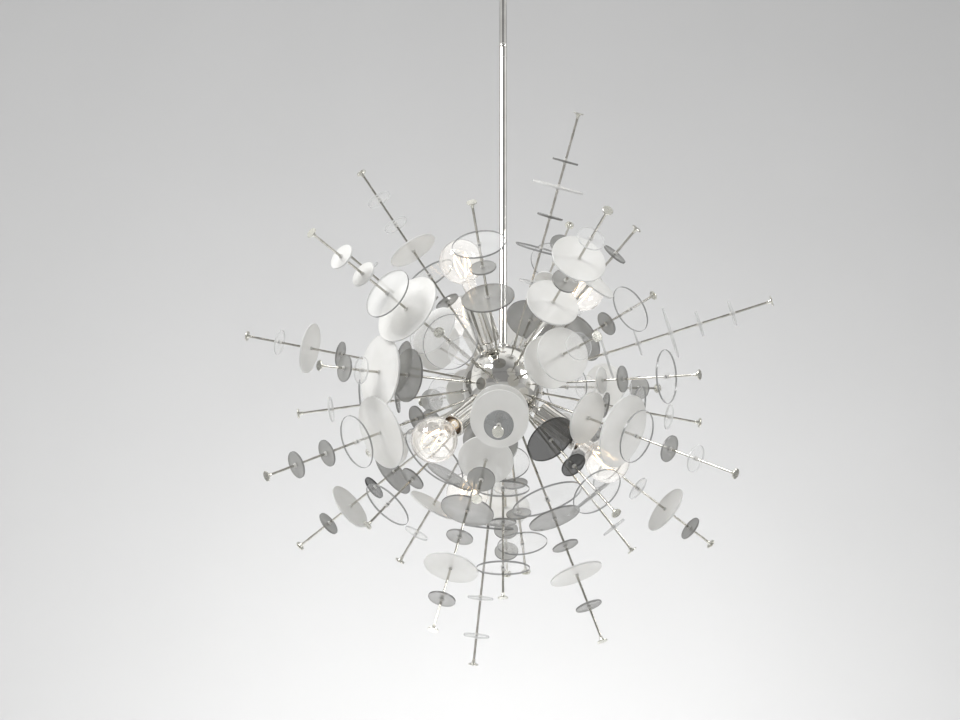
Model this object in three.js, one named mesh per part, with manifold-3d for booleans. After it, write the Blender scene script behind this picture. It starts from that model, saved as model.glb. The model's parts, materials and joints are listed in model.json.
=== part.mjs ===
// A starburst chandelier. A polished ball hangs on a tube from a swivel at the ceiling. Forty thin
// spokes screw into the ball and carry acrylic discs, and six lamps stand between them in long cups.
// Millimetres, +Z up. The origin is the middle of the ceiling strap's top face, on the ceiling.
import * as THREE from "three";
import { mergeVertices } from "three/addons/utils/BufferGeometryUtils.js";
import Module from "manifold-3d";

const wasm = await Module();
wasm.setup();

// ---- Driving dimensions ------------------------------------------------------------------------
const GAP = 0.3; // left between touching pieces
const OVERLAP = 1; // how far a solid reaches into one that it joins, or past one that it cuts

const HUB_Z = -680; // centre of the ball
const HUB_RADIUS = 51;
const HUB_WALL = 3;

const LONG_REACH = 355; // from the hub's centre to the end of a spoke
const SHORT_REACH = 265;
const NADIR_REACH = 275;
const FIRST_DISC = 136; // the discs stand on spheres around the hub's centre
const DISC_PITCH = 43;
const GIANT_SHIFT = 12; // a giant disc stands this much farther out, clear of the lamps
const ROD_RADIUS = 1.5;
const DISC_THICKNESS = 2.4;
const DISC_RADIUS = { S: 16.5, L: 33, X: 45.5 }; // small, large and giant
const DISC_SIDES = { S: 8, L: 10, X: 12 };
const ROD_SIDES = 5;
const CAP_RADIUS = 6.4; // the flat head on each spoke's end
const CAP_THICKNESS = 1.6;
const COLLAR_LENGTH = 6; // the bell between rod and head
const COLLAR_RADIUS = 3;
const COLLAR_LIP = 0.3; // the step from the rod out to the bell

const CUP_RADIUS = 15.5; // the lamp cups; lengths are from the hub's centre along the lamp's axis
const CUP_BASE = 60;
const CUP_MOUTH = 126;
const CUP_FLOOR = 115;
const CUP_BORE_RADIUS = 12;
const CUP_NECK_RADIUS = 5;
const CUP_CHAMFER = 3;
const LAMPHOLDER_FLOOR = 100;
const LAMPHOLDER_RADIUS = 7;
const LAMP_CAP_RADIUS = 6.5;
const LAMP_TIP_RADIUS = 3; // the contact under the cap
const LAMP_TIP_HEIGHT = 3;
const LAMP_NECK_RADIUS = 9;
const LAMP_NECK_LENGTH = 4;
const GLOBE_RADIUS = 28;
const GLOBE_CENTRE = 168;

const STEM_RADIUS = 5;
const STEM_BORE = 3.6;
const STEM_JOINT_Z = -190; // where the two stem tubes screw together
const STEM_SPIGOT_RADIUS = 4.3;
const STEM_SPIGOT_LENGTH = 12;
const STEM_IN_HUB = 19; // how far the stem reaches into the ball
const STEM_FLANGE_RADIUS = 9;
const STEM_FLANGE_HEIGHT = 4;
const STEM_FLANGE_CHAMFER = 1;

const CANOPY_RADIUS = 62.5;
const CANOPY_DEPTH = 26;
const CANOPY_WALL = 1.5;
const CANOPY_FACE_RADIUS = 33; // the flat face around the nut, from which the shell curves up
const CANOPY_BEND = 20; // height of that curve
const CANOPY_RIM_GAP = 0.5; // below the ceiling
const STRAP_LENGTH = 104;
const STRAP_WIDTH = 18;
const STRAP_THICKNESS = 3;
const STRAP_SCREW_X = 42; // the two screw holes to the ceiling box
const STRAP_SCREW_RADIUS = 2.5;
const SLEEVE_RADIUS = 18.5; // threaded sleeve below the strap, around the swivel
const SLEEVE_BORE = 16.5;
const SLEEVE_LENGTH = 31;
const NUT_RADIUS = 24;
const NUT_HEIGHT = 4;
const NUT_CHAMFER = 2;

const SWIVEL_Z = -14; // both swivel axes cross here
const SWIVEL_BLOCK = 10;
const EAR_GAP = 0.5; // between the block and each ear
const EAR_THICKNESS = 3;
const EAR_WIDTH = 8;
const PIN_RADIUS = 1.8;
const PIN_CLEARANCE = 0.3;
const PIN_PROUD = 0.5; // past the outer face of each ear
const YOKE_BASE_DROP = 9.5; // from the swivel axis to the yoke's base
const YOKE_BASE_THICKNESS = 3;

// How finely the round shapes are cut
const RING_SIDES = 24; // the canopy, its nut and the strap's sleeve
const CANOPY_STEPS = 4;
const HUB_SIDES = 20; // the ball and the tube that stands in it
const HUB_STEPS = 5; // from the seam to the pole
const TUBE_SIDES = 16;
const CUP_SIDES = 14;
const SMALL_SIDES = 12; // pins, screw holes, bores and lamps
const GLOBE_STEPS = 6;
const CAP_SIDES = 6;

// ---- Rings of spokes ------------------------------------------------------------------------------
// Each ring has an elevation and an azimuth for its first spoke, and the rest follow evenly. Each
// spoke's discs are given from the hub outward: S small, L large, X giant, and - an empty place. A
// number after a letter slides that disc along its rod from its usual place, outward if positive.
const SPOKE_RINGS = [
  { name: "crown", elevation: 58, start: 60, reach: LONG_REACH,
    discs: ["L S S L S", "S L L S S", "S L S L-5 S-15"] },
  { name: "upper", elevation: 36, start: 20, reach: SHORT_REACH,
    discs: ["L S L", "S S L", "L S S", "L S S", "L-5 S-5 L-15", "S L S"] },
  { name: "shoulder", elevation: 15, start: 50, reach: LONG_REACH,
    discs: ["L S L S S", "L S L S S", "L S S L S", "L X-5 L S S-5", "- L S L S-5",
      "L S L S-5 S-5"] },
  { name: "waist", elevation: -6, start: 14, reach: SHORT_REACH,
    discs: ["S L S", "S L S", "S L S", "S S L", "S L S", "L+5 X-10 S-15 S-35", "- S L",
      "L L-5 S-5", "S S-15 L"] },
  { name: "skirt", elevation: -28, start: 29, reach: LONG_REACH,
    discs: ["L L S+5 L+10 S+10", "L S L S S", "S L+10 S L S-5", "S X L+5 S+5 S+5", "- - L L S",
      "L X L-10 S-5 S-10"] },
  { name: "lower", elevation: -49, start: 20, reach: SHORT_REACH,
    discs: ["- L S+5", "S S L", "L L S", "X-10 S L+5", "L L S", "L-20 S-10 L"] },
  { name: "foot", elevation: -70, start: 108, reach: LONG_REACH,
    discs: ["- L - S+5 S+10", "S+10 L+10 S+5 L+5 S+5", "X+15 L+10 S+5 L S"] },
  { name: "nadir", elevation: -90, start: 0, reach: NADIR_REACH, discs: ["L S L+15"] },
];

const LAMP_RINGS = [
  { name: "upper", elevation: 52, start: 0, count: 3 },
  { name: "lower", elevation: -39, start: 111, count: 3 },
];

// ---- Materials -----------------------------------------------------------------------------------
const nickel = new THREE.MeshStandardMaterial({ color: 0xc9c4ba, metalness: 1, roughness: 0.12 });
const steel = new THREE.MeshStandardMaterial({ color: 0x9a9a98, metalness: 1, roughness: 0.4 });
const acrylic = new THREE.MeshStandardMaterial({
  color: 0xe4e6e6, metalness: 0, roughness: 0.35, transparent: true, opacity: 0.7,
});
const lampGlass = new THREE.MeshStandardMaterial({
  color: 0xfff1d8, metalness: 0, roughness: 0.05, transparent: true, opacity: 0.45,
});

// ---- Solid helpers -------------------------------------------------------------------------------
function toSolid(geometry) {
  const bare = geometry.clone().deleteAttribute("normal").deleteAttribute("uv");
  const merged = mergeVertices(bare, 1e-4);
  return new wasm.Manifold(new wasm.Mesh({
    numProp: 3,
    vertProperties: merged.attributes.position.array,
    triVerts: new Uint32Array(merged.index.array),
  }));
}

function toGeometry(solid) {
  const mesh = solid.getMesh();
  const geometry = new THREE.BufferGeometry();
  geometry.setAttribute("position", new THREE.BufferAttribute(mesh.vertProperties, 3));
  geometry.setIndex(new THREE.BufferAttribute(mesh.triVerts, 1));
  geometry.computeVertexNormals();
  return geometry;
}

// A solid turned about Z from a closed outline of [radius, z] points that runs anticlockwise.
function turned(outline, sides) {
  const points = outline.map(([radius, z]) => new THREE.Vector2(radius, z));
  const last = points[points.length - 1];
  if (last.x > 0 || points[0].x > 0) points.push(points[0].clone());
  return toSolid(new THREE.LatheGeometry(points, sides).rotateX(Math.PI / 2));
}

function cylinder(radius, low, high, sides) {
  return turned([[0, low], [radius, low], [radius, high], [0, high]], sides);
}

function box(low, high) {
  const size = high.map((value, axis) => value - low[axis]);
  const centre = high.map((value, axis) => (value + low[axis]) / 2);
  return toSolid(new THREE.BoxGeometry(...size).translate(...centre));
}

// A round bar of the given length through a point, along X or Y.
function crossBar(axis, radius, length, z) {
  const bar = new THREE.CylinderGeometry(radius, radius, length, SMALL_SIDES);
  if (axis === "x") bar.rotateZ(Math.PI / 2);
  return toSolid(bar.translate(0, 0, z));
}

function join(solids) {
  return solids.reduce((whole, solid) => whole.add(solid));
}

const chandelier = new THREE.Group();

function addNode(name, geometry, material) {
  const mesh = new THREE.Mesh(geometry, material);
  mesh.name = name;
  chandelier.add(mesh);
  return mesh;
}

// Turns a mesh made along +Z so that it points from the hub towards an azimuth and elevation.
function aimFromHub(mesh, azimuth, elevation) {
  const around = THREE.MathUtils.degToRad(azimuth);
  const up = THREE.MathUtils.degToRad(elevation);
  const direction = new THREE.Vector3(
    Math.cos(up) * Math.cos(around), Math.cos(up) * Math.sin(around), Math.sin(up));
  mesh.quaternion.setFromUnitVectors(new THREE.Vector3(0, 0, 1), direction);
  mesh.position.set(0, 0, HUB_Z);
}

// ---- Ceiling parts -------------------------------------------------------------------------------
// Two ears of a clevis, one on each side of the swivel block, with holes for its pins.
function ears(axis, lowZ, highZ) {
  const inner = SWIVEL_BLOCK / 2 + EAR_GAP;
  const outer = inner + EAR_THICKNESS;
  const half = EAR_WIDTH / 2;
  const pair = [-1, 1].map((side) => {
    const from = Math.min(side * inner, side * outer);
    const to = Math.max(side * inner, side * outer);
    return axis === "x"
      ? box([from, -half, lowZ], [to, half, highZ])
      : box([-half, from, lowZ], [half, to, highZ]);
  });
  return join(pair).subtract(crossBar(axis, PIN_RADIUS + PIN_CLEARANCE, 4 * outer, SWIVEL_Z));
}

function ceilingStrap() {
  const bar = box([-STRAP_LENGTH / 2, -STRAP_WIDTH / 2, -STRAP_THICKNESS],
    [STRAP_LENGTH / 2, STRAP_WIDTH / 2, 0]);
  const sleeve = turned([[SLEEVE_BORE, -SLEEVE_LENGTH], [SLEEVE_RADIUS, -SLEEVE_LENGTH],
    [SLEEVE_RADIUS, -STRAP_THICKNESS / 2], [SLEEVE_BORE, -STRAP_THICKNESS / 2]], RING_SIDES);
  const clevis = ears("x", SWIVEL_Z - EAR_WIDTH / 2, -STRAP_THICKNESS / 2);
  const screwHoles = [-1, 1].map((side) =>
    cylinder(STRAP_SCREW_RADIUS, -2 * STRAP_THICKNESS, STRAP_THICKNESS, SMALL_SIDES)
      .translate([side * STRAP_SCREW_X, 0, 0]));
  return join([bar, sleeve, clevis]).subtract(join(screwHoles));
}

function ceilingCanopy() {
  const hole = SLEEVE_RADIUS + GAP;
  const profile = (inset) => {
    const bend = Array.from({ length: CANOPY_STEPS + 1 }, (_, step) => {
      const angle = (step / CANOPY_STEPS) * (Math.PI / 2);
      const across = (CANOPY_RADIUS - CANOPY_FACE_RADIUS) * Math.sin(angle);
      const up = CANOPY_BEND * (1 - Math.cos(angle));
      return [CANOPY_FACE_RADIUS + across - inset, up - CANOPY_DEPTH + inset];
    });
    return [[hole, inset - CANOPY_DEPTH], ...bend, [CANOPY_RADIUS - inset, -CANOPY_RIM_GAP]];
  };
  return turned([...profile(0), ...profile(CANOPY_WALL).reverse()], RING_SIDES);
}

function canopyNut() {
  const top = -CANOPY_DEPTH - GAP;
  const bore = SLEEVE_RADIUS + GAP;
  const low = top - NUT_HEIGHT;
  return turned([[bore, low], [NUT_RADIUS - NUT_CHAMFER, low], [NUT_RADIUS, low + NUT_CHAMFER],
    [NUT_RADIUS, top], [bore, top]], RING_SIDES);
}

function swivelBlock() {
  const half = SWIVEL_BLOCK / 2;
  const pinLength = 2 * (half + EAR_GAP + EAR_THICKNESS + PIN_PROUD);
  return join([
    box([-half, -half, SWIVEL_Z - half], [half, half, SWIVEL_Z + half]),
    crossBar("x", PIN_RADIUS, pinLength, SWIVEL_Z),
    crossBar("y", PIN_RADIUS, pinLength, SWIVEL_Z),
  ]);
}

// ---- Stem ----------------------------------------------------------------------------------------
function upperStem() {
  const baseTop = SWIVEL_Z - YOKE_BASE_DROP;
  const baseLow = baseTop - YOKE_BASE_THICKNESS;
  const outer = SWIVEL_BLOCK / 2 + EAR_GAP + EAR_THICKNESS;
  const half = EAR_WIDTH / 2;
  const base = box([-half, -outer, baseLow], [half, outer, baseTop]);
  const yokeEars = ears("y", baseLow, SWIVEL_Z + half);
  const tube = cylinder(STEM_RADIUS, STEM_JOINT_Z, baseTop - OVERLAP, TUBE_SIDES);
  const spigot = cylinder(STEM_SPIGOT_RADIUS - GAP, STEM_JOINT_Z - STEM_SPIGOT_LENGTH,
    STEM_JOINT_Z + OVERLAP, TUBE_SIDES);
  const bore = cylinder(STEM_BORE - GAP, STEM_JOINT_Z - 2 * STEM_SPIGOT_LENGTH, 0, SMALL_SIDES);
  return join([base, yokeEars, tube, spigot]).subtract(bore);
}

function lowerStem() {
  const top = STEM_JOINT_Z - GAP;
  const bottom = HUB_Z + HUB_RADIUS - STEM_IN_HUB;
  const flangeLow = HUB_Z + HUB_RADIUS + GAP;
  const flangeTop = flangeLow + STEM_FLANGE_HEIGHT;
  const body = turned([[0, bottom], [STEM_RADIUS, bottom], [STEM_RADIUS, flangeLow],
    [STEM_FLANGE_RADIUS, flangeLow], [STEM_FLANGE_RADIUS, flangeTop - STEM_FLANGE_CHAMFER],
    [STEM_FLANGE_RADIUS - STEM_FLANGE_CHAMFER, flangeTop], [STEM_RADIUS, flangeTop],
    [STEM_RADIUS, top], [0, top]], HUB_SIDES);
  const bore = cylinder(STEM_BORE, bottom - OVERLAP, top + OVERLAP, SMALL_SIDES);
  const socket = cylinder(STEM_SPIGOT_RADIUS, top - STEM_SPIGOT_LENGTH - OVERLAP, top + OVERLAP,
    TUBE_SIDES);
  return body.subtract(bore).subtract(socket);
}

// ---- Hub -----------------------------------------------------------------------------------------
// Half of the hollow ball. The upper half has a hole for the stem.
function hubShell(side) {
  const hole = side > 0 ? STEM_RADIUS + GAP : 0;
  const arc = (radius) => Array.from({ length: HUB_STEPS + 1 }, (_, step) => {
    const angle = (step / HUB_STEPS) * Math.acos(hole / radius);
    return [Math.max(radius * Math.cos(angle), hole), radius * Math.sin(angle)];
  });
  const seam = GAP / 2;
  const outside = arc(HUB_RADIUS).map(([radius, z]) => [radius, z + seam]);
  const inside = arc(HUB_RADIUS - HUB_WALL).map(([radius, z]) => [radius, z + seam]);
  const shell = turned([...outside, ...inside.reverse()], HUB_SIDES);
  return side > 0 ? shell : shell.rotate([180, 0, 0]);
}

// ---- Spokes --------------------------------------------------------------------------------------
function spoke(discs, reach) {
  const capBack = reach - CAP_THICKNESS;
  const collarBack = capBack - COLLAR_LENGTH;
  const rod = cylinder(ROD_RADIUS, HUB_RADIUS + GAP, collarBack + OVERLAP, ROD_SIDES);
  const finial = turned([[0, collarBack], [ROD_RADIUS + COLLAR_LIP, collarBack],
    [COLLAR_RADIUS, capBack], [CAP_RADIUS, capBack], [CAP_RADIUS, reach], [0, reach]], CAP_SIDES);
  const half = DISC_THICKNESS / 2;
  const solids = discs.split(" ").flatMap((code, place) => {
    if (code === "-") return [];
    const size = code[0];
    const slide = Number(code.slice(1)) + (size === "X" ? GIANT_SHIFT : 0);
    const middle = FIRST_DISC + place * DISC_PITCH + slide;
    return [cylinder(DISC_RADIUS[size], middle - half, middle + half, DISC_SIDES[size])];
  });
  return join([rod, finial, ...solids]);
}

// ---- Lamps ---------------------------------------------------------------------------------------
function socketCup() {
  const outside = turned([[0, HUB_RADIUS + GAP], [CUP_NECK_RADIUS, HUB_RADIUS + GAP],
    [CUP_NECK_RADIUS, CUP_BASE], [CUP_RADIUS - CUP_CHAMFER, CUP_BASE],
    [CUP_RADIUS, CUP_BASE + CUP_CHAMFER], [CUP_RADIUS, CUP_MOUTH], [0, CUP_MOUTH]], CUP_SIDES);
  const mouth = cylinder(CUP_BORE_RADIUS, CUP_FLOOR, CUP_MOUTH + OVERLAP, CUP_SIDES);
  const lampholder = cylinder(LAMPHOLDER_RADIUS, LAMPHOLDER_FLOOR, CUP_FLOOR + OVERLAP,
    SMALL_SIDES);
  return outside.subtract(mouth).subtract(lampholder);
}

function lamp() {
  const start = Math.asin(LAMP_NECK_RADIUS / GLOBE_RADIUS);
  const globe = Array.from({ length: GLOBE_STEPS + 1 }, (_, step) => {
    const angle = start + (step / GLOBE_STEPS) * (Math.PI - start);
    return [GLOBE_RADIUS * Math.sin(angle), GLOBE_CENTRE - GLOBE_RADIUS * Math.cos(angle)];
  });
  globe[GLOBE_STEPS][0] = 0;
  const contact = LAMPHOLDER_FLOOR + GAP;
  return turned([[0, contact], [LAMP_TIP_RADIUS, contact],
    [LAMP_CAP_RADIUS, contact + LAMP_TIP_HEIGHT], [LAMP_CAP_RADIUS, CUP_MOUTH - LAMP_NECK_LENGTH],
    [LAMP_NECK_RADIUS, CUP_MOUTH], ...globe], SMALL_SIDES);
}

// ---- Assembly ------------------------------------------------------------------------------------
addNode("ceiling_strap", toGeometry(ceilingStrap()), steel);
addNode("ceiling_canopy", toGeometry(ceilingCanopy()), nickel);
addNode("canopy_nut", toGeometry(canopyNut()), nickel);
addNode("swivel_block", toGeometry(swivelBlock()), steel);
addNode("upper_stem", toGeometry(upperStem()), nickel);
addNode("lower_stem", toGeometry(lowerStem()), nickel);
addNode("hub_upper_shell", toGeometry(hubShell(1)), nickel).position.z = HUB_Z;
addNode("hub_lower_shell", toGeometry(hubShell(-1)), nickel).position.z = HUB_Z;

for (const ring of SPOKE_RINGS) {
  ring.discs.forEach((discs, index) => {
    const azimuth = ring.start + (index * 360) / ring.discs.length;
    const name = `spoke_${ring.name}_${index + 1}`;
    const mesh = addNode(name, toGeometry(spoke(discs, ring.reach)), acrylic);
    aimFromHub(mesh, azimuth, ring.elevation);
  });
}

const cupGeometry = toGeometry(socketCup());
const lampGeometry = toGeometry(lamp());
for (const ring of LAMP_RINGS) {
  for (let index = 0; index < ring.count; index += 1) {
    const azimuth = ring.start + (index * 360) / ring.count;
    const cup = addNode(`socket_${ring.name}_${index + 1}`, cupGeometry, nickel);
    const bulb = addNode(`lamp_${ring.name}_${index + 1}`, lampGeometry, lampGlass);
    aimFromHub(cup, azimuth, ring.elevation);
    aimFromHub(bulb, azimuth, ring.elevation);
  }
}

export default chandelier;
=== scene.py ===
"""A starburst chandelier: polished ball, radial rods with acrylic discs, and globe lamps in cups.

Metres, in the CAD model's frame: +Z up, origin at the ceiling. Each rod, disc, cap, cup and lamp is
turned anew from the axis and sizes that its CAD node has.
"""
import json
import math

import bpy
from mathutils import Matrix, Vector


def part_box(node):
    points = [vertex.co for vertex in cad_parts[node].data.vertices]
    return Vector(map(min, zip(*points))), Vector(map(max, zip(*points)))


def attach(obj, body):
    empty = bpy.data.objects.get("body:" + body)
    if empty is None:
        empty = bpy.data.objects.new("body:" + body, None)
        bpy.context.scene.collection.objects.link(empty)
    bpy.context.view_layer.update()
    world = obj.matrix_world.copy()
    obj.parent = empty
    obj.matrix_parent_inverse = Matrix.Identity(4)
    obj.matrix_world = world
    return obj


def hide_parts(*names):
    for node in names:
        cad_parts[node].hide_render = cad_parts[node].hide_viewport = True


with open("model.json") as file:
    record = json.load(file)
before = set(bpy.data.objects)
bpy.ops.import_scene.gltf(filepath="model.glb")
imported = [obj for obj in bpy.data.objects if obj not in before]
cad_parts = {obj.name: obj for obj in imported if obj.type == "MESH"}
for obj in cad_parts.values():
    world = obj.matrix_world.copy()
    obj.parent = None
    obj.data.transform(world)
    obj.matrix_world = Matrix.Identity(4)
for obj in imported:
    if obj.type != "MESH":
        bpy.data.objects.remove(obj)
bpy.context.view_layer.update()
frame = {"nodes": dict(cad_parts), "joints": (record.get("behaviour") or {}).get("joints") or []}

MM = 0.001
FIXTURE = "fixture"

# ---- Sizes of details that the CAD model leaves plain ------------------------------------------
DISC_HOLE = 1.7 * MM
DISC_EDGE = 0.35 * MM
DISC_SPLIT = 4 * MM  # vertices closer than this along a rod belong to one disc
LEAST_DISC = 10 * MM
SMALL_DISC = 20 * MM

GROMMET_RADIUS = 2.1 * MM
GROMMET_LENGTH = 2.6 * MM
GROMMET_FLANGE = 2.8 * MM
GROMMET_FLANGE_THICKNESS = 0.7 * MM
GROMMET_SLOPE = 0.3 * MM
GROMMET_CHAMFER = 0.4 * MM
GROMMET_GAP = 0.05 * MM

FOOT_RATIO, FOOT_CHAMFER_RATIO = 1.9, 1.5  # of the rod's radius
FOOT_STEPS = (2.2 * MM, 2.8 * MM, 3.0 * MM)
COLLAR_LENGTH = 6 * MM
COLLAR_OVERLAP = 0.5 * MM
CAP_CHAMFER = 0.35 * MM

BALL_WALL = 3 * MM
BALL_HOLE = 5.3 * MM
HALF_SEAM = 0.15 * MM

STEM_RADIUS = 5 * MM
STEM_BORE = 3.6 * MM
STEM_CHAMFER = 0.5 * MM
SLEEVE_LENGTH = 16 * MM
SLEEVE_PROUD = 0.35 * MM
SLEEVE_SLOPE = 0.4 * MM
RING_LENGTH = 5 * MM
TOUCHING_GAP = 0.3 * MM
FLANGE_RADIUS = 9 * MM
FLANGE = [(STEM_RADIUS, 0), (FLANGE_RADIUS - STEM_CHAMFER, 0), (FLANGE_RADIUS, STEM_CHAMFER),
          (FLANGE_RADIUS, 2.6 * MM), (8.4 * MM, 3.6 * MM), (6.2 * MM, 4.2 * MM),
          (STEM_RADIUS, 5.0 * MM)]  # radius, height above the flange's face

CANOPY_HOLE = 18.8 * MM
CANOPY_WALL = 1.5 * MM
CANOPY_FACE_RADIUS = 33 * MM
CANOPY_BEND = 20 * MM
CANOPY_BEND_STEPS = 12
NUT_CHAMFER = 2 * MM
NUT_SLOPE = 1.2 * MM
NUT_SOFT = 0.6 * MM

# Along a lamp's axis, heights are from the ball's centre.
CUP_NECK_RADIUS = 5 * MM
CUP_BASE = 60 * MM
CUP_BEND = 3 * MM
CUP_LIP = 1.0 * MM
CUP_BORE_RADIUS = 12 * MM
CUP_FLOOR = 115 * MM
HOLDER_RADIUS = CUP_BORE_RADIUS - 0.3 * MM
HOLDER_HOLE = 7.2 * MM

GLOBE_RADIUS = 28 * MM
GLASS_WALL = 0.7 * MM
LAMP_NECK_RADIUS = 9 * MM
GLASS_OUTSIDE = [(7.0 * MM, 121 * MM), (7.2 * MM, 124 * MM), (8.4 * MM, 132 * MM)]
GLASS_INSIDE = [(7.4 * MM, 132 * MM), (6.2 * MM, 124 * MM), (6.2 * MM, 121 * MM)]
GLASS_POST = [(0, 121 * MM), (4.4 * MM, 121 * MM), (3.4 * MM, 127 * MM), (1.5 * MM, 134 * MM),
              (1.2 * MM, 148 * MM), (1.6 * MM, 150 * MM), (0, 151 * MM)]

THREADS = 5
THREAD_PITCH = 2.4 * MM
THREAD_START = 4 * MM
THREAD = [(5.9 * MM, 0), (6.5 * MM, 0.8 * MM), (6.5 * MM, 1.2 * MM), (5.9 * MM, 2.0 * MM)]
SCREW_TIP = [(0, 0), (2.4 * MM, 0), (3.2 * MM, 1.2 * MM), (5.2 * MM, 2.6 * MM)]
SCREW_TOP = [(6.1 * MM, 117.5 * MM), (6.9 * MM, 120.6 * MM), (0, 120.8 * MM)]

FILAMENTS = 4
FILAMENT_TURN, FILAMENT_LEAN = 0.3, 0.9  # radians
FILAMENT_STEPS = 10
STICK_LOW = (6.5 * MM, 149 * MM)
STICK_BOW = (11.5 * MM, 163 * MM)
STICK_TOP = (9.5 * MM, 177 * MM)
LOWER_WIRE = [(1.0 * MM, 147 * MM), (4.0 * MM, 147.5 * MM)]
UPPER_WIRE = [(5.0 * MM, 180 * MM), (0.8 * MM, 179 * MM)]
MAST = (150 * MM, 179 * MM)
STICK_RADIUS, WIRE_RADIUS, MAST_RADIUS = 0.75 * MM, 0.22 * MM, 0.4 * MM

# How many flat sides stand for each round surface
SWEEP_SIDES, WIRE_SIDES = 10, 8
ROD_SEGMENTS = 18
GROMMET_SEGMENTS = 20
POST_SEGMENTS = 24
CAP_SEGMENTS = 36
SCREW_SEGMENTS = 40
STEM_SEGMENTS = 48
LAMP_SEGMENTS = 64
DISC_SEGMENTS = 72
FINE_SEGMENTS = 96

# ---- Finishes of each spoke's discs, from the ball outward ---------------------------------------
# c clear, p clear with a pale rim, t clear with a thin frost, f frosted, w white, s smoke,
# d dark smoke, g glossy smoke. A small clear disc always has the pale rim.
FINISHES = {
    "crown": ["scfcs", "scfcc", "ccsfs"],
    "upper": ["ssc", "ccf", "fcs", "csc", "ssc", "cfs"],
    "shoulder": ["ccfcs", "fsccs", "scsfc", "wftff", "fsfc", "ppppp"],
    "waist": ["scc", "fcs", "csc", "scf", "scc", "sfcs", "cc", "ffc", "fsc"],
    "skirt": ["sccfs", "cffss", "csdfs", "sfcss", "ffg", "ffcsc"],
    "lower": ["cc", "ssc", "sfc", "csc", "sfs", "ddc"],
    "foot": ["ccc", "cssfs", "cssfs"],
    "nadir": ["csc"],
}


# ---- Materials -----------------------------------------------------------------------------------
def new_material(name, **sockets):
    """A Principled material, with plain values set on its sockets."""
    material = bpy.data.materials.new(name)
    material.use_nodes = True
    shader = material.node_tree.nodes["Principled BSDF"]
    for socket, value in sockets.items():
        shader.inputs[socket.replace("_", " ")].default_value = value
    return material


NOISE_LOW, NOISE_HIGH = 0.35, 0.65  # the noise values that give the two ends


def vary(material, socket, low, high, scale, detail=3.0, stretch=(1, 1, 1)):
    """Lets a noise pattern drive one socket between two values."""
    tree = material.node_tree
    place = tree.nodes.new("ShaderNodeTexCoord")
    mapping = tree.nodes.new("ShaderNodeMapping")
    mapping.inputs["Scale"].default_value = stretch
    noise = tree.nodes.new("ShaderNodeTexNoise")
    noise.inputs["Scale"].default_value = scale
    noise.inputs["Detail"].default_value = detail
    ramp = tree.nodes.new("ShaderNodeValToRGB")
    ramp.color_ramp.elements[0].position = NOISE_LOW
    ramp.color_ramp.elements[1].position = NOISE_HIGH
    for element, value in zip(ramp.color_ramp.elements, (low, high)):
        element.color = (*value, 1) if isinstance(value, tuple) else (value, value, value, 1)
    tree.links.new(place.outputs["Object"], mapping.inputs["Vector"])
    tree.links.new(mapping.outputs["Vector"], noise.inputs["Vector"])
    tree.links.new(noise.outputs["Fac"], ramp.inputs["Fac"])
    shader = tree.nodes["Principled BSDF"]
    tree.links.new(ramp.outputs["Color"], shader.inputs[socket])
    return noise


def roughen(material, scale, strength, distance):
    """Adds a fine noise bump."""
    tree = material.node_tree
    place = tree.nodes.new("ShaderNodeTexCoord")
    noise = tree.nodes.new("ShaderNodeTexNoise")
    noise.inputs["Scale"].default_value = scale
    bump = tree.nodes.new("ShaderNodeBump")
    bump.inputs["Strength"].default_value = strength
    bump.inputs["Distance"].default_value = distance
    tree.links.new(place.outputs["Object"], noise.inputs["Vector"])
    tree.links.new(noise.outputs["Fac"], bump.inputs["Height"])
    tree.links.new(bump.outputs["Normal"], tree.nodes["Principled BSDF"].inputs["Normal"])


def make_nickel():
    material = new_material("polished_nickel", Metallic=1.0)
    vary(material, "Base Color", (0.74, 0.725, 0.69), (0.83, 0.82, 0.79), 40)
    vary(material, "Roughness", 0.03, 0.08, 180)
    return material


def make_rod_metal():
    material = new_material("rod_nickel", Metallic=1.0)
    vary(material, "Base Color", (0.42, 0.41, 0.37), (0.60, 0.585, 0.54), 90)
    vary(material, "Roughness", 0.06, 0.14, 300)
    return material


def make_cap_metal():
    material = new_material("cap_nickel", Metallic=1.0)
    vary(material, "Base Color", (0.60, 0.595, 0.54), (0.74, 0.73, 0.67), 120)
    vary(material, "Roughness", 0.2, 0.32, 300)
    return material


def make_zinc():
    material = new_material("zinc_steel", Metallic=1.0)
    vary(material, "Base Color", (0.42, 0.43, 0.44), (0.60, 0.60, 0.58), 220, stretch=(1, 6, 1))
    vary(material, "Roughness", 0.32, 0.50, 260)
    roughen(material, 900, 0.15, 0.0002)
    return material


def make_acrylic(name, low, high, alpha, roughness, edge=False, cloudy=0.0):
    """Sheet acrylic with a faint cloud in its colour and in its polish.

    Cloudy is the share of light that scatters inside it. Only a face has the fine bump.
    """
    material = new_material(name, Alpha=alpha, IOR=1.49, Subsurface_Weight=cloudy,
                            Subsurface_Radius=(1, 1, 1), Subsurface_Scale=1.2 * MM)
    vary(material, "Base Color", low, high, 26)
    vary(material, "Roughness", *roughness, 420)
    if not edge:
        roughen(material, 1500, 0.04, 0.0001)
    return material


def make_glass():
    # The glass's faint warm emission is a painted glow, in place of filament light scattered in the
    # globe.
    material = new_material("lamp_glass", IOR=1.45, Transmission_Weight=1.0,
                            Emission_Color=(1.0, 0.93, 0.87, 1), Emission_Strength=0.06)
    vary(material, "Base Color", (0.97, 0.965, 0.95), (1.0, 0.995, 0.985), 60)
    vary(material, "Roughness", 0.0, 0.015, 90)
    return material


def make_filament():
    material = new_material("filament", Emission_Color=(1.0, 0.74, 0.46, 1),
                            Emission_Strength=4.5, Roughness=0.6)
    vary(material, "Base Color", (1.0, 0.66, 0.30), (1.0, 0.80, 0.45), 500)
    return material


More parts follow.
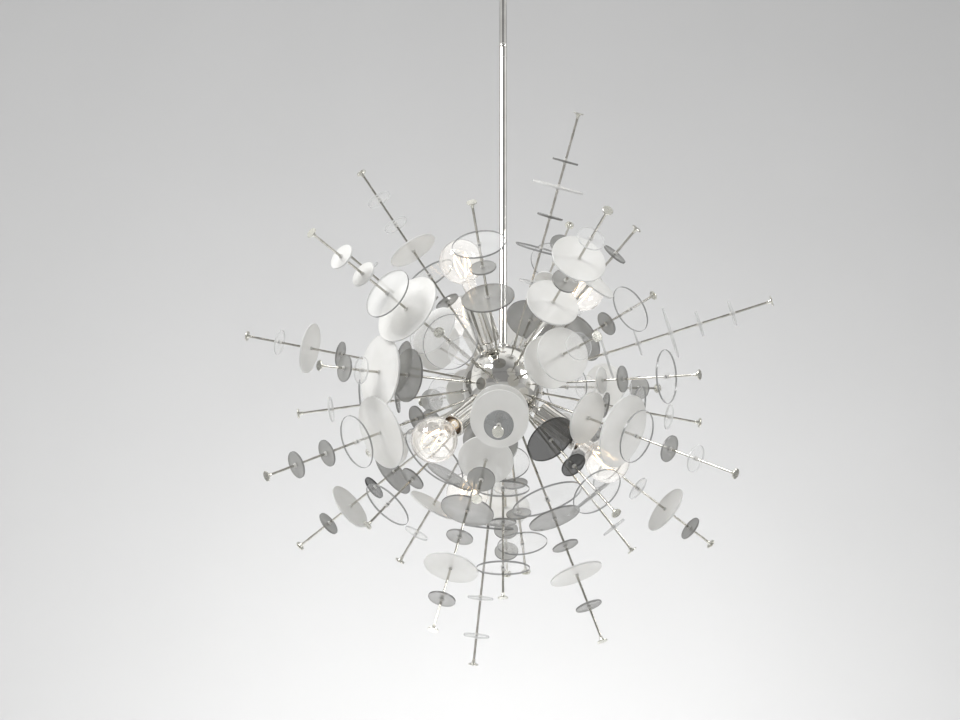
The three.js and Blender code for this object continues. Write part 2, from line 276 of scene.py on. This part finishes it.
def make_brass():
    material = new_material("lamp_brass", Metallic=1.0)
    vary(material, "Base Color", (0.62, 0.45, 0.20), (0.80, 0.62, 0.34), 150)
    vary(material, "Roughness", 0.2, 0.35, 300)
    return material


def make_liner():
    material = new_material("socket_liner", IOR=1.5)
    vary(material, "Base Color", (0.16, 0.10, 0.055), (0.26, 0.17, 0.10), 120)
    vary(material, "Roughness", 0.35, 0.55, 260)
    roughen(material, 800, 0.2, 0.0002)
    return material


def make_grommet_nylon():
    material = new_material("grommet_nylon", IOR=1.5, Alpha=0.7)
    vary(material, "Base Color", (0.70, 0.69, 0.66), (0.84, 0.83, 0.80), 300)
    vary(material, "Roughness", 0.3, 0.45, 500)
    return material


NICKEL = make_nickel()
ROD_METAL = make_rod_metal()
CAP_METAL = make_cap_metal()
ZINC = make_zinc()
GLASS = make_glass()
FILAMENT = make_filament()
BRASS = make_brass()
LINER = make_liner()
NYLON = make_grommet_nylon()

# Each finish: slot and cloudiness, then name, two colours, alpha and roughness of face and edge.
FINISH_LOOKS = {
    "c": ("clear_acrylic", 0.0,
          ("clear_acrylic", (0.90, 0.905, 0.90), (0.97, 0.97, 0.965), 0.13, (0.03, 0.07)),
          # Its dark grey edge is painted shade: the dark line that a clear sheet's edge shows by
          # refraction.
          ("clear_edge_painted_shade", (0.19, 0.195, 0.19), (0.29, 0.295, 0.29), 0.86, (0.1, 0.2))),
    "p": ("clear_acrylic", 0.0,
          ("pale_clear", (0.90, 0.905, 0.90), (0.97, 0.97, 0.965), 0.13, (0.03, 0.07)),
          ("pale_edge", (0.56, 0.565, 0.56), (0.70, 0.705, 0.70), 0.62, (0.1, 0.2))),
    "t": ("frosted_acrylic", 0.0,
          ("thin_frost", (0.90, 0.90, 0.88), (0.95, 0.95, 0.93), 0.36, (0.3, 0.45)),
          # Its dark grey edge is painted shade, as on the clear discs.
          ("thin_frost_edge_painted_shade", (0.19, 0.195, 0.19), (0.29, 0.295, 0.29), 0.9, (0.1, 0.2))),
    "f": ("frosted_acrylic", 0.6,
          ("frosted_acrylic", (0.86, 0.855, 0.83), (0.92, 0.915, 0.895), 0.66, (0.35, 0.5)),
          ("frosted_edge", (0.62, 0.62, 0.61), (0.72, 0.72, 0.71), 0.95, (0.3, 0.4))),
    "w": ("white_acrylic", 0.6,
          ("white_acrylic", (0.90, 0.90, 0.89), (0.94, 0.94, 0.93), 1.0, (0.2, 0.3)),
          ("white_edge", (0.70, 0.70, 0.69), (0.78, 0.78, 0.77), 1.0, (0.3, 0.4))),
    "s": ("smoke_acrylic", 0.0,
          ("smoke_acrylic", (0.35, 0.35, 0.332), (0.42, 0.42, 0.402), 0.60, (0.04, 0.08)),
          ("smoke_edge", (0.17, 0.17, 0.162), (0.25, 0.25, 0.24), 0.85, (0.1, 0.2))),
    "d": ("smoke_acrylic", 0.0,
          ("dark_smoke", (0.05, 0.05, 0.049), (0.085, 0.085, 0.082), 0.62, (0.03, 0.06)),
          ("dark_edge", (0.02, 0.02, 0.02), (0.04, 0.04, 0.039), 0.97, (0.1, 0.2))),
    "g": ("smoke_acrylic", 0.0,
          ("gloss_smoke", (0.24, 0.25, 0.25), (0.34, 0.35, 0.35), 0.55, (0.01, 0.03)),
          ("gloss_edge", (0.12, 0.12, 0.12), (0.2, 0.2, 0.2), 0.95, (0.1, 0.2))),
}


def make_finish(slot, cloudy, face, edge):
    """The slot's name and the two materials of a disc."""
    return slot, make_acrylic(*face, cloudy=cloudy), make_acrylic(*edge, edge=True)


ACRYLICS = {code: make_finish(*look) for code, look in FINISH_LOOKS.items()}


# ---- Mesh helpers --------------------------------------------------------------------------------
def placed(origin, axis):
    """The matrix that takes +Z at the origin to that axis through that point."""
    return Matrix.Translation(origin) @ axis.to_track_quat("Z", "Y").to_matrix().to_4x4()


def add_mesh(name, vertices, faces, materials, face_slots=None, sharp=32):
    mesh = bpy.data.meshes.new(name)
    mesh.from_pydata([tuple(v) for v in vertices], [], faces)
    for material in materials:
        mesh.materials.append(material)
    if face_slots:
        mesh.polygons.foreach_set("material_index", face_slots)
    mesh.polygons.foreach_set("use_smooth", [True] * len(mesh.polygons))
    mesh.set_sharp_from_angle(angle=math.radians(sharp))
    mesh.update()
    piece = bpy.data.objects.new(name, mesh)
    bpy.context.scene.collection.objects.link(piece)
    return piece


class Shape:
    """Gathers vertices and faces of one piece before it becomes a mesh."""

    def __init__(self):
        self.vertices, self.faces, self.slots = [], [], []

    def turn(self, outline, matrix, segments, closed=False, slots=None):
        """Turns an outline of (radius, height) about the matrix's Z axis. It runs anticlockwise."""
        rings = []
        for radius, height in outline:
            if radius < 1e-7:
                self.vertices.append(matrix @ Vector((0, 0, height)))
                rings.append([len(self.vertices) - 1] * segments)
                continue
            first = len(self.vertices)
            for step in range(segments):
                angle = 2 * math.pi * step / segments
                point = Vector((radius * math.cos(angle), radius * math.sin(angle), height))
                self.vertices.append(matrix @ point)
            rings.append(list(range(first, first + segments)))
        count = len(rings) if closed else len(rings) - 1
        for index in range(count):
            low, high = rings[index], rings[(index + 1) % len(rings)]
            for step in range(segments):
                after = (step + 1) % segments
                corners = [low[step], low[after], high[after], high[step]]
                face = list(dict.fromkeys(corners))
                if len(face) > 2:
                    self.faces.append(face)
                    self.slots.append(slots[index] if slots else 0)

    def sweep(self, points, radius, sides=SWEEP_SIDES):
        """A round bar along a list of points, with flat ends."""
        rings = []
        for index, point in enumerate(points):
            before = points[max(index - 1, 0)]
            after = points[min(index + 1, len(points) - 1)]
            turn = (after - before).normalized().to_track_quat("Z", "Y")
            first = len(self.vertices)
            for step in range(sides):
                angle = 2 * math.pi * step / sides
                offset = Vector((radius * math.cos(angle), radius * math.sin(angle), 0))
                self.vertices.append(point + turn @ offset)
            rings.append(list(range(first, first + sides)))
        for low, high in zip(rings, rings[1:]):
            for step in range(sides):
                after = (step + 1) % sides
                self.faces.append([low[step], low[after], high[after], high[step]])
                self.slots.append(0)
        self.faces += [rings[0][::-1], rings[-1]]
        self.slots += [0, 0]

    def finish(self, name, materials, body, slot, replaces=(), sharp=32):
        piece = add_mesh(name, self.vertices, self.faces, materials, self.slots, sharp)
        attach(piece, body)
        if replaces:
            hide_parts(*replaces)
        return piece


def arc(centre, radius, start, end, steps):
    """Points (radius, height) on a circle, from one angle in degrees to another."""
    points = []
    for step in range(steps + 1):
        angle = math.radians(start + (end - start) * step / steps)
        points.append((centre[0] + radius * math.cos(angle), centre[1] + radius * math.sin(angle)))
    return points


# ---- What the CAD nodes measure ------------------------------------------------------------------
shell_low, shell_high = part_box("hub_lower_shell"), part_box("hub_upper_shell")
HUB = Vector((0, 0, (shell_low[1][2] + shell_high[0][2]) / 2))
HUB_RADIUS = max(shell_high[1][0], HUB.z - shell_low[0][2])
TIP_MARGIN = 0.05 * MM
END_ZONE = 1 * MM
CAP_ZONE, CAP_LEAST_RADIUS = 5 * MM, 5 * MM
ROD_LEAST_RADIUS = 0.5 * MM


def axial(node, axis):
    """(distance along the axis from the hub's centre, distance from the axis) of each vertex."""
    measured = []
    for vertex in frame["nodes"][node].data.vertices:
        offset = vertex.co - HUB
        along = offset.dot(axis)
        measured.append((along, (offset - along * axis).length))
    return measured


def spoke_axis(node):
    """The unit vector from the hub's centre to the middle of the cap."""
    points = {tuple(round(c, 6) for c in v.co) for v in frame["nodes"][node].data.vertices}
    offsets = [Vector(p) - HUB for p in points]
    reach = max(offset.length for offset in offsets)
    ends = [offset for offset in offsets if offset.length > reach - TIP_MARGIN]
    return (sum(ends, Vector()) / len(ends)).normalized()


def discs_on(node, axis):
    """[(distance, radius, thickness)] of the discs on a spoke, from the hub outward."""
    wide = sorted({(round(a, 5), round(r, 4)) for a, r in axial(node, axis) if r > LEAST_DISC})
    found = []
    for along, radius in wide:
        if found and along - found[-1][0] < DISC_SPLIT:
            found[-1][1] = max(found[-1][1], along)
            found[-1][2] = max(found[-1][2], radius)
        else:
            found.append([along, along, radius])
    return [((low + high) / 2, radius, high - low) for low, high, radius in found]


# ---- Spokes --------------------------------------------------------------------------------------
def make_disc(name, node, matrix, place, radius, thickness, finish):
    if finish == "c" and radius < SMALL_DISC:
        finish = "p"
    slot, face, edge = ACRYLICS[finish]
    half = thickness / 2
    low, high = place - half, place + half
    outline = [(DISC_HOLE, low), (radius - DISC_EDGE, low), (radius, low + DISC_EDGE),
               (radius, high - DISC_EDGE), (radius - DISC_EDGE, high), (DISC_HOLE, high)]
    shape = Shape()
    shape.turn(outline, matrix, DISC_SEGMENTS, closed=True, slots=[0, 1, 1, 1, 0, 1])
    shape.finish(name, [face, edge], FIXTURE, slot, [node])


def make_grommets(name, matrix, discs, rod_radius):
    """A small flanged sleeve on each side of each disc."""
    shape = Shape()
    for place, _, thickness in discs:
        for side in (-1, 1):
            face = place + side * (thickness / 2 + GROMMET_GAP)
            steps = [(rod_radius, 0), (GROMMET_FLANGE, 0),
                     (GROMMET_FLANGE, GROMMET_FLANGE_THICKNESS),
                     (GROMMET_RADIUS, GROMMET_FLANGE_THICKNESS + GROMMET_SLOPE),
                     (GROMMET_RADIUS, GROMMET_LENGTH - GROMMET_CHAMFER),
                     (GROMMET_RADIUS - GROMMET_CHAMFER, GROMMET_LENGTH),
                     (rod_radius, GROMMET_LENGTH)]
            outline = [(r, face + side * h) for r, h in steps]
            if side < 0:
                outline.reverse()
            shape.turn(outline, matrix, GROMMET_SEGMENTS, closed=True)
    shape.finish(name, [NYLON], FIXTURE, "frosted_acrylic")


def make_spoke(node, finishes):
    axis = spoke_axis(node)
    matrix = placed(HUB, axis)
    measured = axial(node, axis)
    start, reach = min(a for a, _ in measured), max(a for a, _ in measured)
    cap_radius = max(r for a, r in measured if a > reach - END_ZONE)
    cap_back = min(a for a, r in measured if a > reach - CAP_ZONE and r > CAP_LEAST_RADIUS)
    rod_radius = min(r for a, r in measured if a < start + END_ZONE and r > ROD_LEAST_RADIUS)
    collar_back = cap_back - COLLAR_LENGTH
    discs = discs_on(node, axis)

    foot = rod_radius * FOOT_RATIO
    end = collar_back + COLLAR_OVERLAP
    rod = Shape()
    rod.turn([(0, start), (foot, start), (foot, start + FOOT_STEPS[0]),
              (rod_radius * FOOT_CHAMFER_RATIO, start + FOOT_STEPS[1]),
              (rod_radius, start + FOOT_STEPS[2]), (rod_radius, end), (0, end)],
             matrix, ROD_SEGMENTS)
    rod.finish(f"{node}_rod", [ROD_METAL], FIXTURE, "polished_nickel", [node])

    soft = CAP_CHAMFER
    cap = Shape()
    cap.turn([(0, collar_back), (rod_radius + 0.1 * MM, collar_back),
              (rod_radius + 0.5 * MM, collar_back + 0.4 * MM),
              (rod_radius + 0.6 * MM, cap_back - 2.6 * MM), (3.0 * MM, cap_back - 0.6 * MM),
              (3.2 * MM, cap_back), (cap_radius - soft, cap_back),
              (cap_radius, cap_back + soft), (cap_radius, reach - soft),
              (cap_radius - soft, reach), (0, reach)], matrix, CAP_SEGMENTS)
    cap.finish(f"{node}_cap", [CAP_METAL], FIXTURE, "polished_nickel", [node])

    for number, ((place, radius, thickness), finish) in enumerate(zip(discs, finishes), 1):
        make_disc(f"{node}_disc_{number}", node, matrix, place, radius, thickness, finish)
    make_grommets(f"{node}_grommets", matrix, discs, rod_radius)


for ring, codes in FINISHES.items():
    for number, finishes in enumerate(codes, 1):
        make_spoke(f"spoke_{ring}_{number}", finishes)


# ---- Ball and stem -------------------------------------------------------------------------------
def make_ball():
    """Two polished half shells with a fine rounded seam between them."""
    lining = HUB_RADIUS - BALL_WALL
    for side, node in ((1, "hub_upper_shell"), (-1, "hub_lower_shell")):
        top = math.degrees(math.acos(BALL_HOLE / HUB_RADIUS)) if side > 0 else 90
        inner = math.degrees(math.acos(BALL_HOLE / lining)) if side > 0 else 90
        outline = arc((0, HALF_SEAM), HUB_RADIUS, 0, top, 28)
        outline += arc((0, HALF_SEAM), lining, inner, 0, 20)
        matrix = placed(HUB, Vector((0, 0, side)))
        shape = Shape()
        shape.turn(outline, matrix, FINE_SEGMENTS, closed=True)
        shape.finish(node + "_polished", [NICKEL], FIXTURE, "polished_nickel", [node])


def make_stems():
    """The lower tube with its flange and its screwed joint, and the joint's ring above it."""
    matrix = Matrix.Identity(4)
    low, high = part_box("lower_stem")
    bottom, top = low[2], high[2]
    flange = HUB.z + HUB_RADIUS + TOUCHING_GAP
    sleeve_radius = STEM_RADIUS + SLEEVE_PROUD
    sleeve = top - SLEEVE_LENGTH
    outline = [(STEM_BORE, bottom), (STEM_RADIUS, bottom)]
    outline += [(radius, flange + height) for radius, height in FLANGE]
    outline += [(STEM_RADIUS, sleeve), (sleeve_radius, sleeve + SLEEVE_SLOPE),
                (sleeve_radius, top - STEM_CHAMFER), (STEM_RADIUS, top), (STEM_BORE, top)]
    tube = Shape()
    tube.turn(outline, matrix, STEM_SEGMENTS, closed=True)
    tube.finish("lower_stem_tube", [NICKEL], FIXTURE, "polished_nickel", ["lower_stem"])

    joint = top + TOUCHING_GAP
    inner_radius = STEM_RADIUS + 0.05 * MM
    ring = Shape()
    ring.turn([(inner_radius, joint), (sleeve_radius, joint + STEM_CHAMFER),
               (sleeve_radius, joint + RING_LENGTH),
               (inner_radius, joint + RING_LENGTH + STEM_CHAMFER)],
              matrix, STEM_SEGMENTS, closed=True)
    ring.finish("stem_joint_ring", [NICKEL], FIXTURE, "polished_nickel")


def make_canopy():
    """The cover shell, spun with a rounded rim, and the ring nut under it."""
    low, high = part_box("ceiling_canopy")
    radius, bottom, top = high[0], low[2], high[2]
    hole, wall = CANOPY_HOLE, CANOPY_WALL
    matrix = Matrix.Identity(4)
    outside = []
    for step in range(1, CANOPY_BEND_STEPS + 1):
        angle = math.radians(90 * step / CANOPY_BEND_STEPS)
        across = CANOPY_FACE_RADIUS + (radius - CANOPY_FACE_RADIUS) * math.sin(angle)
        outside.append((across, bottom + CANOPY_BEND * (1 - math.cos(angle))))
    lining = [(across - wall, height + wall) for across, height in reversed(outside)]
    outline = [(hole, bottom), (CANOPY_FACE_RADIUS, bottom)] + outside
    outline += [(radius, top), (radius - wall, top)] + lining
    outline += [(CANOPY_FACE_RADIUS - wall, bottom + wall), (hole, bottom + wall)]
    shape = Shape()
    shape.turn(outline, matrix, FINE_SEGMENTS, closed=True)
    shape.finish("canopy_shell", [NICKEL], "ceiling", "polished_nickel", ["ceiling_canopy"])

    low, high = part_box("canopy_nut")
    radius, bottom, top = high[0], low[2], high[2]
    ring = Shape()
    ring.turn([(hole, bottom), (radius - NUT_CHAMFER, bottom),
               (radius - NUT_SOFT, bottom + NUT_SLOPE), (radius, bottom + NUT_CHAMFER),
               (radius, top - NUT_SOFT), (radius - NUT_SOFT, top), (hole, top)],
              matrix, LAMP_SEGMENTS, closed=True)
    ring.finish("canopy_ring_nut", [NICKEL], "ceiling", "polished_nickel", ["canopy_nut"])


make_ball()
make_stems()
make_canopy()


# ---- Lamps ---------------------------------------------------------------------------------------
def make_cup(name, axis):
    """A long polished cup on a short neck, with the brown lampholder in its mouth."""
    node = f"socket_{name}"
    measured = axial(node, axis)
    start, mouth = min(a for a, _ in measured), max(a for a, _ in measured)
    radius = max(r for _, r in measured)
    bore, floor = CUP_BORE_RADIUS, CUP_FLOOR
    matrix = placed(HUB, axis)
    outline = [(0, start), (CUP_NECK_RADIUS, start), (CUP_NECK_RADIUS, CUP_BASE - 1.5 * MM),
               (CUP_NECK_RADIUS + 0.8 * MM, CUP_BASE - 0.4 * MM),
               (radius - CUP_BEND - 0.4 * MM, CUP_BASE)]
    outline += arc((radius - CUP_BEND, CUP_BASE + CUP_BEND), CUP_BEND, -80, 0, 6)
    outline += [(radius, mouth - CUP_LIP - 0.6 * MM)]
    outline += arc((radius - CUP_LIP, mouth - CUP_LIP), CUP_LIP, 0, 90, 5)
    outline += arc((bore + CUP_LIP, mouth - CUP_LIP), CUP_LIP, 90, 180, 5)
    outline += [(bore, floor), (0, floor)]
    cup = Shape()
    cup.turn(outline, matrix, LAMP_SEGMENTS)
    cup.finish(f"{node}_cup", [NICKEL], FIXTURE, "polished_nickel", [node])

    rim, hole = HOLDER_RADIUS, HOLDER_HOLE
    holder = Shape()
    holder.turn([(hole, floor + 0.2 * MM), (rim, floor + 0.2 * MM), (rim, floor + 3.4 * MM),
                 (rim - 1.2 * MM, floor + 4.4 * MM), (hole + 0.6 * MM, floor + 4.4 * MM),
                 (hole, floor + 3.8 * MM)], matrix, SCREW_SEGMENTS, closed=True)
    holder.finish(f"{node}_lampholder", [LINER], FIXTURE, "socket_liner", [node])


def make_globe(node, body, matrix, centre):
    """The blown glass: a globe on a neck, with an even wall."""
    start = math.degrees(math.acos(LAMP_NECK_RADIUS / GLOBE_RADIUS))
    lining = GLOBE_RADIUS - GLASS_WALL
    outside = GLASS_OUTSIDE + arc((0, centre), GLOBE_RADIUS, -start, 90, 30)
    inside = [(max(r - GLASS_WALL, 0), z - (GLASS_WALL if r < GLASS_WALL else 0))
              for r, z in arc((0, centre), lining, 90, -start, 30)]
    inside[0] = (0, centre + lining)
    glass = Shape()
    glass.turn([(max(r, 0), z) for r, z in outside] + inside + GLASS_INSIDE,
               matrix, LAMP_SEGMENTS, closed=True)
    glass.finish(f"{node}_globe", [GLASS], body, "lamp_glass", [node])


def make_screw_shell(node, body, matrix, low):
    """The brass shell with its threads and its contact at the tip."""
    shell = [(radius, low + height) for radius, height in SCREW_TIP]
    for number in range(THREADS):
        at = low + THREAD_START + THREAD_PITCH * number
        shell += [(radius, at + height) for radius, height in THREAD]
    screw = Shape()
    screw.turn(shell + SCREW_TOP, matrix, SCREW_SEGMENTS)
    screw.finish(f"{node}_screw_shell", [BRASS], body, "lamp_brass", [node])


def make_filaments(node, body, matrix):
    """Bowed filament sticks round the post, held by thin wires."""
    wires, sticks = Shape(), Shape()

    def at(radius, turn, height):
        return matrix @ Vector((radius * math.cos(turn), radius * math.sin(turn), height))

    for number in range(FILAMENTS):
        angle = 2 * math.pi * number / FILAMENTS + FILAMENT_TURN
        lean = angle + FILAMENT_LEAN
        bottom = at(STICK_LOW[0], angle, STICK_LOW[1])
        top = at(STICK_TOP[0], lean, STICK_TOP[1])
        bow = at(STICK_BOW[0], (angle + lean) / 2, STICK_BOW[1])
        shares = [step / FILAMENT_STEPS for step in range(FILAMENT_STEPS + 1)]
        curve = [bottom.lerp(bow, t).lerp(bow.lerp(top, t), t) for t in shares]
        sticks.sweep(curve, STICK_RADIUS)
        lower = [at(radius, angle, height) for radius, height in LOWER_WIRE]
        upper = [at(radius, lean, height) for radius, height in UPPER_WIRE]
        wires.sweep(lower + [bottom], WIRE_RADIUS, WIRE_SIDES)
        wires.sweep([top] + upper, WIRE_RADIUS, WIRE_SIDES)
    wires.sweep([at(0, 0, height) for height in MAST], MAST_RADIUS)
    sticks.finish(f"{node}_filaments", [FILAMENT], body, "filament", [node])
    wires.finish(f"{node}_support_wires", [ROD_METAL], body, "polished_nickel", [node])


def make_lamp(name, axis):
    """A clear globe on a screw shell, with four filament sticks round a glass post."""
    node, body = f"lamp_{name}", f"bulb_{name}"
    measured = axial(node, axis)
    matrix = placed(HUB, axis)
    make_globe(node, body, matrix, max(a for a, _ in measured) - GLOBE_RADIUS)
    make_screw_shell(node, body, matrix, min(a for a, _ in measured))
    post = Shape()
    post.turn(GLASS_POST, matrix, POST_SEGMENTS)
    post.finish(f"{node}_glass_post", [GLASS], body, "lamp_glass", [node])
    make_filaments(node, body, matrix)


for joint in frame["joints"]:
    if joint["name"].startswith("lamp_out_"):
        lamp_name = joint["name"].removeprefix("lamp_out_")
        lamp_axis = Vector(joint["axis"]).normalized()
        make_cup(lamp_name, lamp_axis)
        make_lamp(lamp_name, lamp_axis)


# ---- CAD nodes that stay -------------------------------------------------------------------------
def repaint(node, material):
    piece = frame["nodes"][node]
    piece.data.materials.clear()
    piece.data.materials.append(material)


repaint("ceiling_strap", ZINC)
repaint("swivel_block", ZINC)
repaint("upper_stem", NICKEL)


# ---- Stage, light and camera ---------------------------------------------------------------------
def make_stage():
    """A pale floor that curves up into a pale wall behind the fixture."""
    floor, wall, front, width, height, bend, steps = -1.9, 2.6, -9.0, 22.0, 4.2, 0.8, 12
    profile = [(front, floor), (wall - bend, floor)]
    for step in range(1, steps + 1):
        angle = math.radians(90 * step / steps)
        profile.append((wall - bend + bend * math.sin(angle), floor + bend * (1 - math.cos(angle))))
    profile.append((wall, height))
    vertices, faces = [], []
    for depth, level in profile:
        vertices += [(-width / 2, depth, level), (width / 2, depth, level)]
    for index in range(len(profile) - 1):
        first = 2 * index
        faces.append([first, first + 1, first + 3, first + 2])
    paper = new_material("backdrop", Roughness=0.9)
    vary(paper, "Base Color", (0.55, 0.55, 0.55), (0.56, 0.56, 0.56), 2)
    sweep = add_mesh("backdrop", vertices, faces, [paper], sharp=60)


def add_light(name, location, size, power, target=HUB):
    light = bpy.data.lights.new(name, "AREA")
    light.shape, light.size, light.energy = "SQUARE", size, power
    lamp = bpy.data.objects.new(name, light)
    lamp.location = location
    lamp.rotation_euler = (Vector(target) - Vector(location)).to_track_quat("-Z", "Y").to_euler()
    lamp.visible_camera = False
    bpy.context.scene.collection.objects.link(lamp)


DIM_SIDE, DIM_UNTIL = 0.28, 0.12
BRIGHT_SIDE, BRIGHT_FROM = (1.04, 1.04, 1.03), 0.46
OPEN_SKY = 0.55


def make_world():
    """Light that grows from dim in front to bright behind, and an even grey for open views."""
    world = bpy.data.worlds.new("studio")
    bpy.context.scene.world = world
    world.use_nodes = True
    tree = world.node_tree
    background = tree.nodes["Background"]
    place = tree.nodes.new("ShaderNodeTexCoord")
    split = tree.nodes.new("ShaderNodeSeparateXYZ")
    spread = tree.nodes.new("ShaderNodeMapRange")
    spread.inputs["From Min"].default_value = -1
    ramp = tree.nodes.new("ShaderNodeValToRGB")
    ends = ramp.color_ramp.elements
    ends[0].position, ends[0].color = DIM_UNTIL, (*[DIM_SIDE] * 3, 1)
    ends[1].position, ends[1].color = BRIGHT_FROM, (*BRIGHT_SIDE, 1)
    path = tree.nodes.new("ShaderNodeLightPath")
    choice = tree.nodes.new("ShaderNodeMix")
    choice.data_type = "RGBA"
    tree.links.new(place.outputs["Generated"], split.inputs["Vector"])
    tree.links.new(split.outputs["Y"], spread.inputs["Value"])
    tree.links.new(spread.outputs["Result"], ramp.inputs["Fac"])
    tree.links.new(path.outputs["Is Camera Ray"], choice.inputs["Factor"])
    tree.links.new(ramp.outputs["Color"], choice.inputs[6])
    choice.inputs[7].default_value = (*[OPEN_SKY] * 3, 1)
    tree.links.new(choice.outputs[2], background.inputs["Color"])


VIEW_PITCH = math.radians(20)
VIEW_DISTANCE = 2.27
VIEW_LENS = 67.1
VIEW_SHIFT = (-0.024, 0.027)
SENSOR_WIDTH = 36


def make_camera():
    camera = bpy.data.cameras.new("camera")
    camera.lens, camera.sensor_width = VIEW_LENS, SENSOR_WIDTH
    camera.shift_x, camera.shift_y = VIEW_SHIFT
    holder = bpy.data.objects.new("camera", camera)
    ahead = Vector((0, math.cos(VIEW_PITCH), math.sin(VIEW_PITCH)))
    holder.location = HUB - VIEW_DISTANCE * ahead
    holder.rotation_euler = ahead.to_track_quat("-Z", "Y").to_euler()
    bpy.context.scene.collection.objects.link(holder)
    bpy.context.scene.camera = holder


bpy.context.scene.view_settings.view_transform = "Standard"
make_stage()
make_world()
add_light("key", (-2.4, -2.2, 1.4), 1.4, 104)
add_light("side", (2.6, -1.4, 0.4), 0.9, 26)
add_light("below", (0, 0.3, -1.65), 1.4, 4)
add_light("wall_wash", (0, 0.8, -1.3), 1.4, 42, (0, 2.6, -0.9))
make_camera()
